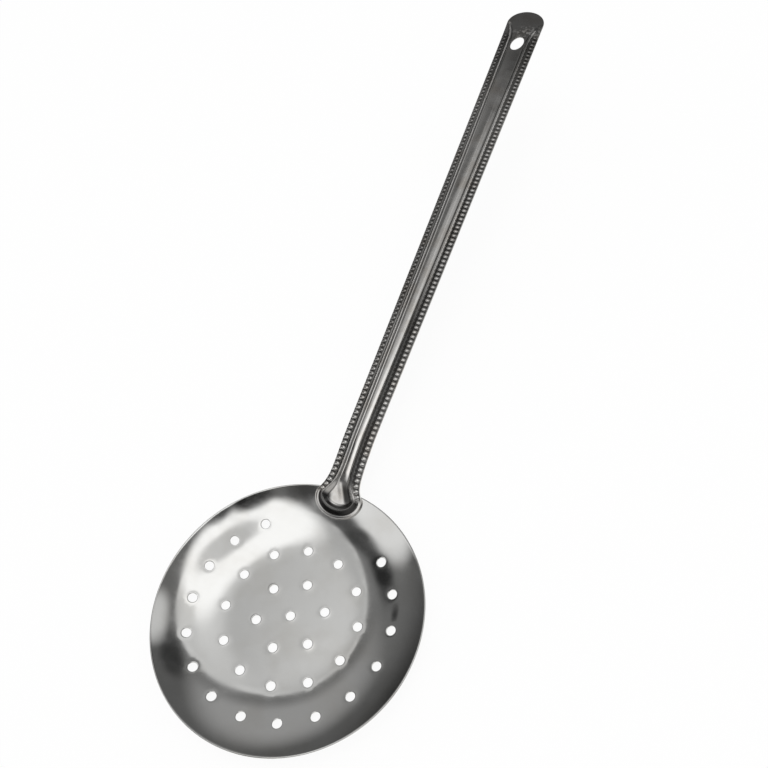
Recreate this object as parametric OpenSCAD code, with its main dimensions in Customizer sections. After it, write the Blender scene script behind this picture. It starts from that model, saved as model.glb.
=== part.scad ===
// Kitchen skimmer: a shallow perforated dish, spot-welded to a long pressed handle with beaded edges.
// The dish lies level with its flat underside on z = 0 and its axis on Z. The handle points along +Y.

/* [Dish] */
// Diameter over the rim
dish_d = 120; // [105:1:150]
// Diameter of the flat middle
dish_flat_d = 53; // [36:1:60]
// Radius of the wall that rises from the flat middle to the rim
dish_wall_r = 67; // [60:1:100]
// Thickness of the dish's sheet
dish_t = 0.9; // [0.7:0.1:1.4]

/* [Drain holes] */
// Diameter of a drain hole
hole_d = 4; // [2.5:0.1:4.6]
// Step from one ring of holes to the next
ring_pitch = 15.2; // [13:0.1:16]
// Number of rings around the middle hole
ring_n = 3; // [1:1:3]
// Holes in the first ring, and how many more each further ring has
ring_holes = 6; // [4:1:7]
// Angle by which each ring is turned from the line of the handle, from the innermost outwards
ring_turn = [-4.4, 10.2, 0]; // [-15:0.2:15]

/* [Handle] */
// Distance from the dish's axis to the end of the handle
handle_reach = 353; // [260:1:400]
// Width of the handle at the neck
neck_w = 14.6; // [13.4:0.2:17]
// Width of the handle at its hanging end
end_w = 21.2; // [18.4:0.2:24]
// Angle at which the handle rises from the dish's plane
handle_rise = 9.33; // [4:0.1:16]
// Angle at which the neck rises between its two bends
neck_rise = 16.7; // [13:0.1:20]
// Length of the neck, from the dish's rim to the straight part
neck_l = 27; // [22:0.5:36]
// Length of the bend at the rim, from the slope of the dish's wall to the neck's
rim_bend_l = 4; // [3:0.5:6]
// Length of the bend at the neck's other end, from its slope to the handle's own
grip_bend_l = 8; // [4:0.5:12]
// Thickness of the handle's sheet
handle_t = 1.1; // [0.8:0.1:1.4]
// Depth of the rounded end
end_round = 9; // [6:0.5:10]

/* [Foot] */
// How far the foot reaches inside the rim
foot_reach = 13.2; // [12:0.2:15]
// Width of the foot
foot_w = 23.2; // [22:0.2:26]
// Distance from the foot's tip to its widest place
foot_round = 8.6; // [7.6:0.2:9.4]
// Length over which the foot narrows into the neck
foot_flare = 4.2; // [3:0.2:6]
// Width of the plain lip around the foot
lip_w = 1.4; // [1:0.1:2]
// Width of the raised ring between the lip and the pad, at its sides
ring_w = 4.6; // [4:0.1:5]
// The same at the foot's tip
ring_tip_w = 4.7; // [4.4:0.1:5]
// Gap left between the foot and the dish
seat_gap = 0.05; // [0.02:0.01:0.2]

/* [Relief] */
// Width of the flange that carries the beads
flange_w = 3.3; // [3:0.1:3.6]
// Width of the groove beside the flange
groove_w = 0.8; // [0.5:0.1:1]
// Depth of the groove
groove_h = 0.3; // [0.1:0.05:0.4]
// Width of the crest, from the groove to the panel in the middle
crest_w = 2; // [1.6:0.1:2.2]
// Height of the crest over the flange
crest_h = 1.3; // [0.8:0.1:1.6]
// Height of the panel's edge over the flange
panel_h = 0.5; // [0.2:0.1:0.7]
// Height of the panel's middle over the flange
panel_mid_h = 0.15; // [0:0.05:0.3]
// Length over which the crests run out to the edges before the end
runout_l = 15; // [12:1:20]

/* [Beads] */
// Diameter of a bead along the row
bead_d = 2.2; // [1.6:0.1:2.3]
// Extra width of a bead across the row
bead_extra = 0.3; // [0.2:0.1:0.5]
// Height of a bead over the flange
bead_h = 0.75; // [0.5:0.05:0.9]
// Distance from one bead to the next
bead_pitch = 2.6; // [2.4:0.1:3.2]
// Distance from the handle's edge to the middle of the beads
bead_in = 1.75; // [1.6:0.05:1.9]

/* [Hanging hole] */
// Length of the hanging hole
hang_l = 10.6; // [8:0.2:12]
// Width of the hanging hole
hang_w = 6.9; // [5:0.1:7.4]
// Angle by which the hole leans from the line of the handle
hang_lean = 8; // [0:1:15]
// Distance from the handle's end to the middle of the hole
hang_in = 24.4; // [23:0.2:30]

/* [Spot welds] */
// Diameter of a weld nugget
weld_d = 3.4; // [2.5:0.1:3.6]
// Distance between the two nuggets
weld_pitch = 6; // [5.4:0.2:6.4]
// Depth of a nugget in each sheet
weld_depth = 0.45; // [0.3:0.05:0.5]
// Clearance around and under a nugget in its pockets
weld_gap = 0.03; // [0.02:0.01:0.05]

/* [Hidden] */

// Steps over the round of the foot, and over the round end
round_steps = 8;
// Steps over the neck, over the long straight and over the length where the crests run out
neck_steps = 14;
long_steps = 4;
runout_steps = 7;
// Sides of a bead
bead_sides = 8;
// Steps of the dish's wall from the flat middle to the rim
wall_steps = 12;
// Room that a cut takes past the sheet on each side
over = 3;

// The dish's wall is an arc about one circle, whose centre stands over the edge of the flat middle
flat_r = dish_flat_d / 2;
wall_out_r = dish_wall_r + dish_t / 2;
wall_in_r = dish_wall_r - dish_t / 2;
rim_mid_r = (dish_d - dish_t) / 2;
rim_angle = asin((rim_mid_r - flat_r) / dish_wall_r);

// Slope angle of the wall, and heights of the sheet's middle and of its inner face, at a radius
function wall_angle(r) = r <= flat_r ? 0 : asin((r - flat_r) / dish_wall_r);
function mid_z(r) = wall_out_r - dish_wall_r * cos(wall_angle(r));
function in_z(r) = wall_out_r - sqrt(pow(wall_in_r, 2) - pow(max(r - flat_r, 0), 2));
function in_slope(r) = max(r - flat_r, 0) / sqrt(pow(wall_in_r, 2) - pow(max(r - flat_r, 0), 2));

// Where the foot has its tip and its widest place, and where the neck starts and ends
foot_tip_y = dish_d / 2 - foot_reach;
foot_y = foot_tip_y + foot_round;
neck_y = dish_d / 2 - dish_t;
straight_y = neck_y + neck_l;
end_y = handle_reach - end_round;
runout_y = end_y - runout_l;
hang_y = handle_reach - hang_in;

// Side profile of the handle: on the dish, then the bend at the rim, the neck, the second bend and the
// straight rise. A bend starts with one slope and ends with another.
rim_slope = in_slope(neck_y);
neck_slope = tan(neck_rise);
grip_slope = tan(handle_rise);
rim_bend_y = neck_y + rim_bend_l;
grip_bend_y = straight_y - grip_bend_l;
function bend_z(u, l, first, last) = u * (first + (last - first) * u / (2 * l));
function side_z(y) =
    y < neck_y ? in_z(y) :
    y < rim_bend_y ? in_z(neck_y) + bend_z(y - neck_y, rim_bend_l, rim_slope, neck_slope) :
    y < grip_bend_y ? neck_end_z - neck_slope * (grip_bend_y - y) :
    y < straight_y ? neck_end_z + bend_z(y - grip_bend_y, grip_bend_l, neck_slope, grip_slope) :
    neck_end_z + bend_z(grip_bend_l, grip_bend_l, neck_slope, grip_slope) + grip_slope * (y - straight_y);
neck_end_z = in_z(neck_y) + bend_z(rim_bend_l, rim_bend_l, rim_slope, neck_slope)
    + neck_slope * (grip_bend_y - rim_bend_y);

// Around the rim the foot's sides still follow the round dish, and the neck has grown level across
level_l = 7;
function across_z(x, y) =
    y > neck_y + level_l ? 0 :
    (in_z(norm([x, y])) - in_z(y)) * (1 - max(0, y - neck_y) / level_l);
function base_z(x, y) = side_z(y) + across_z(x, y) + seat_gap + handle_t;

// Half the width of the plain strip, at a distance along the handle
function strip_half(y) = (neck_w + (end_w - neck_w) * (y - neck_y) / (end_y - neck_y)) / 2;

// The creases run side by side from the foot to the end. Each has its inset from the edge of the strip,
// its half width and its depth on the foot, and its heights over the flange on strip and foot.
crest_outer = 0.3;
crest_inner = 0.55;
crest_in = flange_w + groove_w + crest_w * crest_outer;
crest_top = flange_w + groove_w + crest_w * crest_inner;
panel_in = flange_w + groove_w + crest_w;
ring_share = [0.1, 0.35, 0.55, 1];
ring_in = [0, lip_w, for (share = ring_share) lip_w + share * ring_w];
tip_in = [0, lip_w, for (share = ring_share) lip_w + share * ring_tip_w];
strip_in = [0, flange_w, flange_w + groove_w / 2, crest_in, crest_top, panel_in];
shoulder = 0.9;
ring_foot_h = 0.1;
strip_h = [0, 0, -groove_h, crest_h * shoulder, crest_h, panel_h];
ring_h = [0, 0, ring_foot_h, crest_h * shoulder, crest_h, 0];
crease_n = len(strip_in);
// What is left of the creases' insets where they have run out
end_in_share = 0.25;

// Share of the strip's section at y, which grows from the foot to the neck and fades out at the end
function strip_share(y) = min(1, max(0, (y - foot_y) / (neck_y + level_l - foot_y)));
function runout(y) = pow(min(1, max(0, (y - runout_y) / runout_l)), 2);
function end_share(y) = 1 - runout(y);
function end_in(k, y) = strip_in[k] * (1 - (1 - end_in_share) * runout(y));
function flare(y) = 1 / (1 + pow((y - foot_y) / foot_flare, 2));

// Half width and height of crease k where the handle runs straight, at y
function crease_half(k, y) =
    let (strip = strip_half(y) - end_in(k, y))
    let (start = strip_half(foot_y) - strip_in[k])
    strip + (foot_w / 2 - ring_in[k] - start) * flare(y);
function crease_z(k, y) =
    end_share(y) * (ring_h[k] + (strip_h[k] - ring_h[k]) * strip_share(y));
function middle_z(y) = end_share(y) * panel_mid_h * strip_share(y);

// One half section: the creases' points and heights from the edge to the middle, as [x, y, height]
function foot_row(a) = [
    for (k = [0:crease_n - 1])
        [(foot_w / 2 - ring_in[k]) * cos(a), foot_y - (foot_round - tip_in[k]) * sin(a), ring_h[k]],
    [0, foot_y, 0]
];
function strip_row(y) = [
    for (k = [0:crease_n - 1]) [crease_half(k, y), y, crease_z(k, y)],
    [0, y, middle_z(y)]
];
function end_row(a) = [
    for (k = [0:crease_n - 1])
        [crease_half(k, end_y) * cos(a), end_y + (end_round - end_in(k, end_y)) * sin(a), 0],
    [0, end_y, 0]
];

// Stations from a to b in n steps, closer together towards a the larger the crowding is
function stations(a, b, n, crowding) = [for (i = [1:n]) a + (b - a) * pow(i / n, crowding)];
neck_rows = stations(foot_y, straight_y, neck_steps, 1.2);
long_rows = stations(straight_y, runout_y, long_steps, 2);
runout_rows = stations(runout_y, end_y, runout_steps, 1);
half_rows = [
    for (i = [0:round_steps - 1]) foot_row(90 * (1 - i / round_steps)),
    strip_row(foot_y),
    for (y = neck_rows) strip_row(y),
    for (y = long_rows) strip_row(y),
    for (y = runout_rows) strip_row(y),
    for (i = [1:round_steps]) end_row(90 * i / round_steps)
];

// Whole sections from the right edge over the middle to the left edge, set on the handle's base
function whole(row) = [
    for (p = row) [p.x, p.y, base_z(p.x, p.y) + p.z],
    for (k = [crease_n - 1:-1:0]) let (p = row[k]) [-p.x, p.y, base_z(p.x, p.y) + p.z]
];
upper = [for (row = half_rows) whole(row)];
row_n = len(upper);
col_n = 2 * crease_n + 1;

// The lower face lies one thickness under the upper, measured square to the section
function down(p, q) =
    let (run = norm([q.x - p.x, q.y - p.y]), rises = q.z - p.z)
    run < 0.001 ? [0, 0, -1] :
    [(q.x - p.x) / run * rises, (q.y - p.y) / run * rises, -run] / norm([run, rises]);
function mitre(n, m) = (n + m) / (1 + n * m);
function under(row, k) =
    let (n = down(row[max(k - 1, 0)], row[max(k, 1)]))
    let (m = down(row[min(k, col_n - 2)], row[min(k + 1, col_n - 1)]))
    row[k] + handle_t * mitre(n, m);

// The two sides of the first and last row lie on each other, and all the rows of a round share their middle
function column(i, k) = (i == 0 || i == row_n - 1) && k > crease_n ? col_n - 1 - k : k;
function row_of(i, k) =
    k != crease_n ? i :
    i <= round_steps ? 0 :
    i >= row_n - 1 - round_steps ? row_n - 1 :
    i;
function at(i, k, lower) = (lower ? row_n * col_n : 0) + row_of(i, column(i, k)) * col_n + column(i, k);
function flat_out(f) = [for (t = f) if (t[0] != t[1] && t[1] != t[2] && t[0] != t[2]) t];
handle_points = [
    for (row = upper, p = row) p,
    for (row = upper, k = [0:col_n - 1]) under(row, k)
];
handle_faces = flat_out([
    for (i = [0:row_n - 2], k = [0:col_n - 2])
        each [
            [at(i, k, false), at(i + 1, k + 1, false), at(i + 1, k, false)],
            [at(i, k, false), at(i, k + 1, false), at(i + 1, k + 1, false)],
            [at(i, k, true), at(i + 1, k, true), at(i + 1, k + 1, true)],
            [at(i, k, true), at(i + 1, k + 1, true), at(i, k + 1, true)]
        ],
    for (i = [0:row_n - 2], side = [false, true])
        let (k = side ? col_n - 1 : 0)
        let (a = at(i, k, false), b = at(i + 1, k, false), c = at(i, k, true), d = at(i + 1, k, true))
        each (side ? [[a, c, d], [a, d, b]] : [[a, d, c], [a, b, d]])
]);

// The beads follow the edge at an even pitch, from the foot's shoulder to where the crests run out
bead_foot_l = 2.4;
bead_runout = 0.65;
bead_start_y = foot_y + bead_foot_l;
bead_end_y = end_y - runout_l * bead_runout;
bead_step = 0.01;
// Depth of a bead's root in the sheet, and shares of its own sizes: its root's width, and its shoulder's
// height and width
bead_sink = 0.3;
bead_root = 1.1;
bead_waist = 0.65;
bead_shoulder = 0.75;
function edge_x(y) = crease_half(0, y);
function edge_slope(y) = (edge_x(y + bead_step) - edge_x(y)) / bead_step;
function side_slope(y) = (side_z(y + bead_step) - side_z(y)) / bead_step;
function bead_ys(y) =
    y > bead_end_y ? [] :
    concat([y], bead_ys(y + bead_pitch / norm([1, edge_slope(y), side_slope(y)])));
beads_at = bead_ys(bead_start_y);

module at_weld(side)
{
    x = side * weld_pitch / 2;
    r = norm([x, foot_y]);
    translate([x, foot_y, in_z(r)])
        rotate([0, 0, atan2(foot_y, x)])
            rotate([0, -wall_angle(r), 0])
                children();
}

module weld_pocket(side)
{
    at_weld(side)
        cylinder(h = 2 * (weld_depth + weld_gap), d = weld_d + 2 * weld_gap, center = true, $fn = 48);
}

// A point of the wall's arc, turned by an angle from the edge of the flat middle
function wall_point(r, angle) = [flat_r + r * sin(angle), wall_out_r - r * cos(angle)];

module dish_profile()
{
    polygon([
        [0, 0],
        for (i = [0:wall_steps]) wall_point(wall_out_r, rim_angle * i / wall_steps),
        for (i = [wall_steps:-1:0]) wall_point(wall_in_r, rim_angle * i / wall_steps),
        [0, dish_t]
    ]);
    translate([rim_mid_r, mid_z(rim_mid_r)])
        circle(d = dish_t, $fn = 24);
}

module drain_hole(r, azimuth)
{
    rotate([0, 0, azimuth])
        translate([r, 0, mid_z(r)])
            rotate([0, -wall_angle(r), 0])
                cylinder(h = 2 * over, d = hole_d, center = true, $fn = 32);
}

// Rings of holes, each with one more set than the last. The outermost ring leaves out the hole under the
// foot and its neighbours.
foot_skip = 2;
module drain_holes()
{
    drain_hole(0, 0);
    for (ring = [1:ring_n]) {
        count = ring_holes * ring;
        step = 360 / count;
        for (i = [0:count - 1])
            if (ring < ring_n || (i >= foot_skip && i <= count - foot_skip))
                drain_hole(ring * ring_pitch, 90 + ring_turn[ring - 1] + i * step);
    }
}

module bead(y, side)
{
    x = edge_x(y) - bead_in;
    translate([side * x, y, base_z(x, y)])
        rotate([atan(side_slope(y)), 0, -side * atan(edge_slope(y))])
            scale([(bead_d + bead_extra) / bead_d, 1, 1])
                hull() {
                    translate([0, 0, -bead_sink])
                        cylinder(h = bead_sink / 10, d = bead_d * bead_root, $fn = bead_sides);
                    translate([0, 0, bead_h * bead_waist])
                        cylinder(h = bead_h * (1 - bead_waist), d1 = bead_d * bead_shoulder, d2 = 0,
                                 $fn = bead_sides);
                }
}

module hanging_hole()
{
    translate([0, hang_y, base_z(0, hang_y)])
        rotate([handle_rise, 0, 0])
            rotate([0, 0, -hang_lean])
                scale([hang_w / hang_l, 1, 1])
                    cylinder(h = 4 * over, d = hang_l, center = true, $fn = 48);
}

module dish()
{
    color("silver")
        difference() {
            rotate_extrude($fn = 180)
                dish_profile();
            drain_holes();
            for (side = [-1, 1])
                weld_pocket(side);
        }
}

module handle()
{
    color("gainsboro")
        difference() {
            union() {
                polyhedron(handle_points, handle_faces, convexity = 8);
                for (side = [-1, 1], y = beads_at)
                    bead(y, side);
            }
            hanging_hole();
            for (side = [-1, 1])
                weld_pocket(side);
        }
}

module spot_welds()
{
    color("darkgray")
        for (side = [-1, 1])
            at_weld(side)
                cylinder(h = 2 * weld_depth, d = weld_d, center = true, $fn = 48);
}

dish();
handle();
spot_welds();
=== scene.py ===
# %% [markdown]
# A kitchen skimmer is three things: a shallow dish pressed from thin steel and punched with drain holes,
# a long handle pressed from a second strip, and two spot welds that hold the handle's foot to the dish.
# The construction comes as a fixed frame of solids. This script dresses them: it makes finer meshes for
# the dish and the handle in the same places, gives every surface its steel, and sets up a photo studio.
# Sizes are written in millimetres and turned into Blender's metres when a mesh is made.

# %% Load the frame
import math

import bmesh
import bpy
import numpy as np
from mathutils import Matrix, Vector, geometry


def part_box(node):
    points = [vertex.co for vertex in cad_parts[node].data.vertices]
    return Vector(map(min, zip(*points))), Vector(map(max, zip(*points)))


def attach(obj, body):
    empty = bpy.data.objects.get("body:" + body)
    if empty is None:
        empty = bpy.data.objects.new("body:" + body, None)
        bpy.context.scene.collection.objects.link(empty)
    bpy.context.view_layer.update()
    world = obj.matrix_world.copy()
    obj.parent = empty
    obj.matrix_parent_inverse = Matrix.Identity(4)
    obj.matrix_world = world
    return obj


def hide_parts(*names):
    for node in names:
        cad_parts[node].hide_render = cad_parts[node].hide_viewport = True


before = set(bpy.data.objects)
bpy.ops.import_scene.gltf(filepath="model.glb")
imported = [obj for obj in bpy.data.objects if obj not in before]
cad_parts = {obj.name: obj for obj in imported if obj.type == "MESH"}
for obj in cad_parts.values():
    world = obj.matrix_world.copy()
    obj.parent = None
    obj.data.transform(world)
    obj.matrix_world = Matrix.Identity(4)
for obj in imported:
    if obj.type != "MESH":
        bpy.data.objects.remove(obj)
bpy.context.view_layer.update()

MM = 0.001
dish_low, dish_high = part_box("dish")
handle_low, handle_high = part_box("handle")
print("nodes", sorted(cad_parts), "dish across, mm", round((dish_high.x - dish_low.x) / MM, 1))

# %% [markdown]
# The camera stands where the photographer's did: above the dish and a little to its right, looking along
# the handle, so that the far end is small and the dish is large. A camera object is placed by one matrix
# whose columns are the camera's right, up and backward directions and its place.

# %% Camera
camera_place = Vector((139.8, -88.55, 359.76)) * MM
camera_right = Vector((0.91368, 0.377968, -0.149428))
camera_up = Vector((-0.234172, 0.790057, 0.566546))
camera_back = Vector((0.332193, -0.482649, 0.810369))


def camera_matrix():
    turned = Matrix((camera_right, camera_up, camera_back)).transposed().to_4x4()
    return Matrix.Translation(camera_place) @ turned


lens_data = bpy.data.cameras.new("photo_camera")
lens_data.sensor_width = 36.0
lens_data.lens = 41.05
lens_data.clip_start = 0.01
photo_camera = bpy.data.objects.new("photo_camera", lens_data)
photo_camera.matrix_world = camera_matrix()
bpy.context.scene.collection.objects.link(photo_camera)
bpy.context.scene.camera = photo_camera
bpy.context.scene.view_settings.view_transform = "Standard"
print("camera is", round(camera_place.length, 3), "m from the dish's middle")

# %% [markdown]
# Node trees are used three times here: for geometry, for steel and for the studio's walls. The same two
# small helpers build them all. One adds a node and feeds its first inputs, each with a socket or with a
# plain value. The other does one step of arithmetic and hands back the result's socket.

# %% Helpers for node trees
def feed(tree, socket, value):
    if isinstance(value, bpy.types.NodeSocket):
        tree.links.new(value, socket)
    elif value is not None:
        socket.default_value = value


def add(tree, kind, *values, **settings):
    made = tree.nodes.new(kind)
    for name, value in settings.items():
        setattr(made, name, value)
    for socket, value in zip(made.inputs, values):
        feed(tree, socket, value)
    return made


def calc(tree, operation, *values):
    return add(tree, "ShaderNodeMath", *values, operation=operation).outputs[0]


def remap(tree, value, low, high, to_low, to_high, shape="SMOOTHSTEP"):
    return add(tree, "ShaderNodeMapRange", value, low, high, to_low, to_high,
               interpolation_type=shape).outputs[0]


def blend(tree, share, first, second):
    mixed = add(tree, "ShaderNodeMix", share, data_type="FLOAT")
    feed(tree, mixed.inputs["A"], first)
    feed(tree, mixed.inputs["B"], second)
    return mixed.outputs[0]


print("node helpers ready")

# %% [markdown]
# Polished steel has hardly any colour of its own. What it shows is the room, so the studio matters as
# much as the steel. Small lamps would give hard white dots. A photo studio uses large soft cards instead,
# and here the world's background plays them: each card is a soft-edged disc of brightness in one
# direction, seen only in reflections. The camera itself sees a plain white background.

# %% Studio cards seen in reflections
# Each card: azimuth from +X, elevation, half angle of its full part, half angle where it ends, brightness
STUDIO_CARDS = [
    ("far wall", 105, 32, 30, 50, 0.09),
    ("soft window in front", -62, 12, 14, 38, 0.40),
    ("low light on the right", 22, 2, 14, 27, 0.85),
    ("soft window behind", 64, 8, 8, 27, 0.38),
    ("soft window on the left", 205, 6, 8, 26, 0.30),
    ("light on the far wall", 130, 47, 9, 26, 0.29),
    ("shade round the ceiling", 135, 82, 25, 33, 0.15),
    ("bright edge of the pale ceiling", 126, 82.3, 23.0, 24.3, 0.58),
    ("pale ceiling", 135, 83, 20.5, 23.2, 0.41),
    ("soft end of the ceiling", 120, 74, 3, 18, 0.60),
    ("bright ceiling", -27, 87.4, 18, 24, 1.02),
    ("panel in the ceiling", -16, 85.5, 5, 10, 0.52),
    ("second panel in the ceiling", 20, 80, 3, 8, 0.56),
    ("pale patch behind", 80, 67, 2, 7, 0.62),
    ("pale wall on the left", 210, 43, 9, 18, 0.70),
    ("pale wall in front", 232, 52, 6, 14, 0.75),
    ("gap left of the ceiling", 181, 52, 2, 8, 0.015),
    ("gap beside the ceiling", 196, 59, 3, 8, 0.045),
    ("gap under the ceiling", 214, 62, 2, 7, 0.07),
    ("narrow gap on the left", 172, 43, 0.5, 3, 0.03),
    ("gap in front on the left", 256, 58, 3, 10, 0.05),
    ("gap behind on the right", 82, 53, 2, 9, 0.03),
    ("gap in front", -61, 65, 4.5, 10, 0.012),
    ("gap on the right", -30, 65, 2, 7, 0.06),
    ("window on the right", 54, 51, 4, 12, 0.55),
]
wall_brightness = 0.025
wall_top_brightness = 0.13


def direction(azimuth, elevation):
    turn, lift = math.radians(azimuth), math.radians(elevation)
    return (math.cos(turn) * math.cos(lift), math.sin(turn) * math.cos(lift), math.sin(lift))


def card_share(tree, ray, azimuth, elevation, full, ends):
    towards = add(tree, "ShaderNodeVectorMath", ray, direction(azimuth, elevation), operation="DOT_PRODUCT")
    return remap(tree, towards.outputs["Value"], math.cos(math.radians(ends)),
                 math.cos(math.radians(full)), 0.0, 1.0)


def studio_walls(tree, ray):
    height = add(tree, "ShaderNodeSeparateXYZ", ray).outputs["Z"]
    level = remap(tree, height, 0.2, 0.7, wall_brightness, wall_top_brightness)
    for name, azimuth, elevation, full, ends, brightness in STUDIO_CARDS:
        level = blend(tree, card_share(tree, ray, azimuth, elevation, full, ends), level, brightness)
    return level


world = bpy.data.worlds.new("studio")
bpy.context.scene.world = world
world.use_nodes = True
sky = world.node_tree
sky.nodes.clear()
ray = add(sky, "ShaderNodeTexCoord").outputs["Generated"]
path = add(sky, "ShaderNodeLightPath")
plain_level = 0.9
reflected = blend(sky, path.outputs["Is Glossy Ray"], plain_level, studio_walls(sky, ray))
shown = blend(sky, path.outputs["Is Camera Ray"], reflected, 1.0)
backdrop = add(sky, "ShaderNodeBackground", None, shown)
backdrop.inputs["Color"].default_value = (1.0, 1.0, 1.0, 1.0)
add(sky, "ShaderNodeOutputWorld", backdrop.outputs[0])
print("studio cards", len(STUDIO_CARDS))

# %% [markdown]
# The skimmer lies on a pale table. Most of the table's white comes from its own glow, so that it is as
# white as the background and shows through the drain holes. The rest is ordinary paint, which keeps a
# faint shadow under the dish and the handle. One wide lamp overhead gives that shadow its direction.

# %% Table and lamp
table_reach = 3.0
table_paint_share = 0.14


def table_material():
    made = bpy.data.materials.new("pale_table")
    made.use_nodes = True
    tree = made.node_tree
    tree.nodes.clear()
    glow = add(tree, "ShaderNodeEmission", (1.0, 1.0, 1.0, 1.0), 1.0)
    paint = add(tree, "ShaderNodeBsdfDiffuse", (1.0, 1.0, 1.0, 1.0))
    both = add(tree, "ShaderNodeMixShader", table_paint_share, glow.outputs[0], paint.outputs[0])
    add(tree, "ShaderNodeOutputMaterial", both.outputs[0])
    return made


table_mesh = bpy.data.meshes.new("table")
corners = [(-1, -1), (1, -1), (1, 1), (-1, 1)]
table_mesh.from_pydata([(x * table_reach, y * table_reach, 0.0) for x, y in corners], [], [(0, 1, 2, 3)])
table_mesh.materials.append(table_material())
table = bpy.data.objects.new("table", table_mesh)
bpy.context.scene.collection.objects.link(table)

lamp_data = bpy.data.lights.new("overhead_softbox", "AREA")
lamp_data.shape = "DISK"
lamp_data.size = 0.7
lamp_data.energy = 1.2
lamp = bpy.data.objects.new("overhead_softbox", lamp_data)
lamp.location = (0.0, 0.1, 1.3)
lamp.visible_glossy = False
bpy.context.scene.collection.objects.link(lamp)
print("table paint share", table_paint_share)

# %% [markdown]
# Both sheets are steel that was once mirror polished and has been scrubbed for years. The finish has
# four parts: a nearly neutral metal colour with faint stains, a roughness that wanders because wiping
# polishes unevenly, hair-fine scratches, and a very low waviness in the surface. All of it is computed
# from the piece's own coordinates, so it stays with the metal from every side.

# %% Steel
def stretched_noise(tree, place, size, stretch, turn, detail=3.0, roughness=0.55):
    mapped = add(tree, "ShaderNodeMapping", place)
    mapped.inputs["Rotation"].default_value = (0.0, 0.0, math.radians(turn))
    mapped.inputs["Scale"].default_value = (1.0, stretch, 1.0)
    noise = add(tree, "ShaderNodeTexNoise")
    feed(tree, noise.inputs["Vector"], mapped.outputs[0])
    noise.inputs["Scale"].default_value = 1.0 / (size * MM)
    noise.inputs["Detail"].default_value = detail
    noise.inputs["Roughness"].default_value = roughness
    return noise.outputs["Fac"]


def tone(value):
    return (value[0], value[1], value[2], 1.0)


def handle_marks_and_painted_light(tree, place):
    """Colour scale of the handle: darker to its far end, bare scuffs, painted shade and painted highlights."""
    y = add(tree, "ShaderNodeSeparateXYZ", place).outputs["Y"]
    # Darker towards the far end, in patches.
    patchy = calc(tree, "MULTIPLY_ADD", stretched_noise(tree, place, 11.0, 1.0, 0.0), 0.05, y)
    dimmer_from_middle = remap(tree, patchy, 0.11, 0.20, 1.0, 0.62)
    shade = blend(tree, remap(tree, patchy, 0.29, 0.362, 0.0, 1.0), dimmer_from_middle, 0.24)
    specks = remap(tree, stretched_noise(tree, place, 1.9, 1.0, 0.0, 1.0), 0.46, 0.60, 0.0, 1.0)
    band = add(tree, "ShaderNodeMapping", place)
    band.inputs["Scale"].default_value = (0.5, 1.0, 0.0)
    band.inputs["Location"].default_value = (-2.5 * MM, -336.5 * MM, 0.0)
    off = add(tree, "ShaderNodeVectorMath", band.outputs[0], operation="LENGTH").outputs["Value"]
    scuffed = calc(tree, "MULTIPLY", specks, remap(tree, off, 1.5 * MM, 6.5 * MM, 1.0, 0.0))
    # Painted shade, kept as a share per point: darkens the flange between the beads, the groove, the foot's ring and
    # the pad.
    painted_shade = add(tree, "ShaderNodeAttribute", attribute_name="painted_shade").outputs["Fac"]
    # Painted highlights, kept as a share per point: bright lines on the crests and the panel, and glints on the
    # right-hand beads.
    painted_highlight = add(tree, "ShaderNodeAttribute", attribute_name="painted_highlight").outputs["Fac"]
    scuffs_and_painted_shade = calc(tree, "MULTIPLY", blend(tree, scuffed, shade, 0.7),
                 remap(tree, painted_shade, 0.0, 1.0, 1.0, 0.06, "LINEAR"))
    # Where the painted highlight share is full, the colour is nearly clean steel again.
    return blend(tree, painted_highlight, scuffs_and_painted_shade, 0.95)


def steel(name, clean, stained, smooth, dull, scratch_depth, wave_depth, stain_size, wear_and_painted_light=None):
    made = bpy.data.materials.new(name)
    made.use_nodes = True
    tree = made.node_tree
    tree.nodes.clear()
    place = add(tree, "ShaderNodeTexCoord").outputs["Object"]
    shader = add(tree, "ShaderNodeBsdfPrincipled")
    shader.inputs["Metallic"].default_value = 1.0
    stain = remap(tree, stretched_noise(tree, place, stain_size, 1.0, 0.0), 0.42, 0.72, 0.0, 1.0)
    colour = add(tree, "ShaderNodeMix", stain, data_type="RGBA")
    colour.inputs["A"].default_value = tone(clean)
    colour.inputs["B"].default_value = tone(stained)
    shaded = add(tree, "ShaderNodeVectorMath", colour.outputs["Result"], operation="SCALE")
    # On the handle the colour is scaled by its marks, painted shade and painted highlights.
    feed(tree, shaded.inputs["Scale"], wear_and_painted_light(tree, place) if wear_and_painted_light else 1.0)
    tree.links.new(shaded.outputs[0], shader.inputs["Base Color"])
    hair_a = remap(tree, stretched_noise(tree, place, 5.0, 24.0, 38.0), 0.62, 0.75, 0.0, 1.0)
    hair_b = remap(tree, stretched_noise(tree, place, 5.0, 20.0, -57.0), 0.64, 0.76, 0.0, 1.0)
    hair = calc(tree, "MAXIMUM", hair_a, hair_b)
    wiped = remap(tree, stretched_noise(tree, place, 14.0, 1.6, 20.0), 0.35, 0.7, smooth, dull)
    rough = calc(tree, "MULTIPLY_ADD", hair, 0.05, wiped)
    # The painted shade and painted highlight shares also make the steel rougher.
    for name, extra in (("painted_shade", 0.12), ("painted_highlight", 0.25)):
        share = add(tree, "ShaderNodeAttribute", attribute_name=name).outputs["Fac"]
        rough = calc(tree, "MULTIPLY_ADD", share, extra, rough)
    feed(tree, shader.inputs["Roughness"], rough)
    wave = stretched_noise(tree, place, 9.0, 1.0, 0.0, 1.0)
    height = calc(tree, "MULTIPLY_ADD", hair, -scratch_depth * MM,
                  calc(tree, "MULTIPLY", wave, wave_depth * MM))
    bump = add(tree, "ShaderNodeBump")
    bump.inputs["Distance"].default_value = 1.0
    bump.inputs["Strength"].default_value = 1.0
    feed(tree, bump.inputs["Height"], height)
    tree.links.new(bump.outputs[0], shader.inputs["Normal"])
    add(tree, "ShaderNodeOutputMaterial", shader.outputs[0])
    return made


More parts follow.
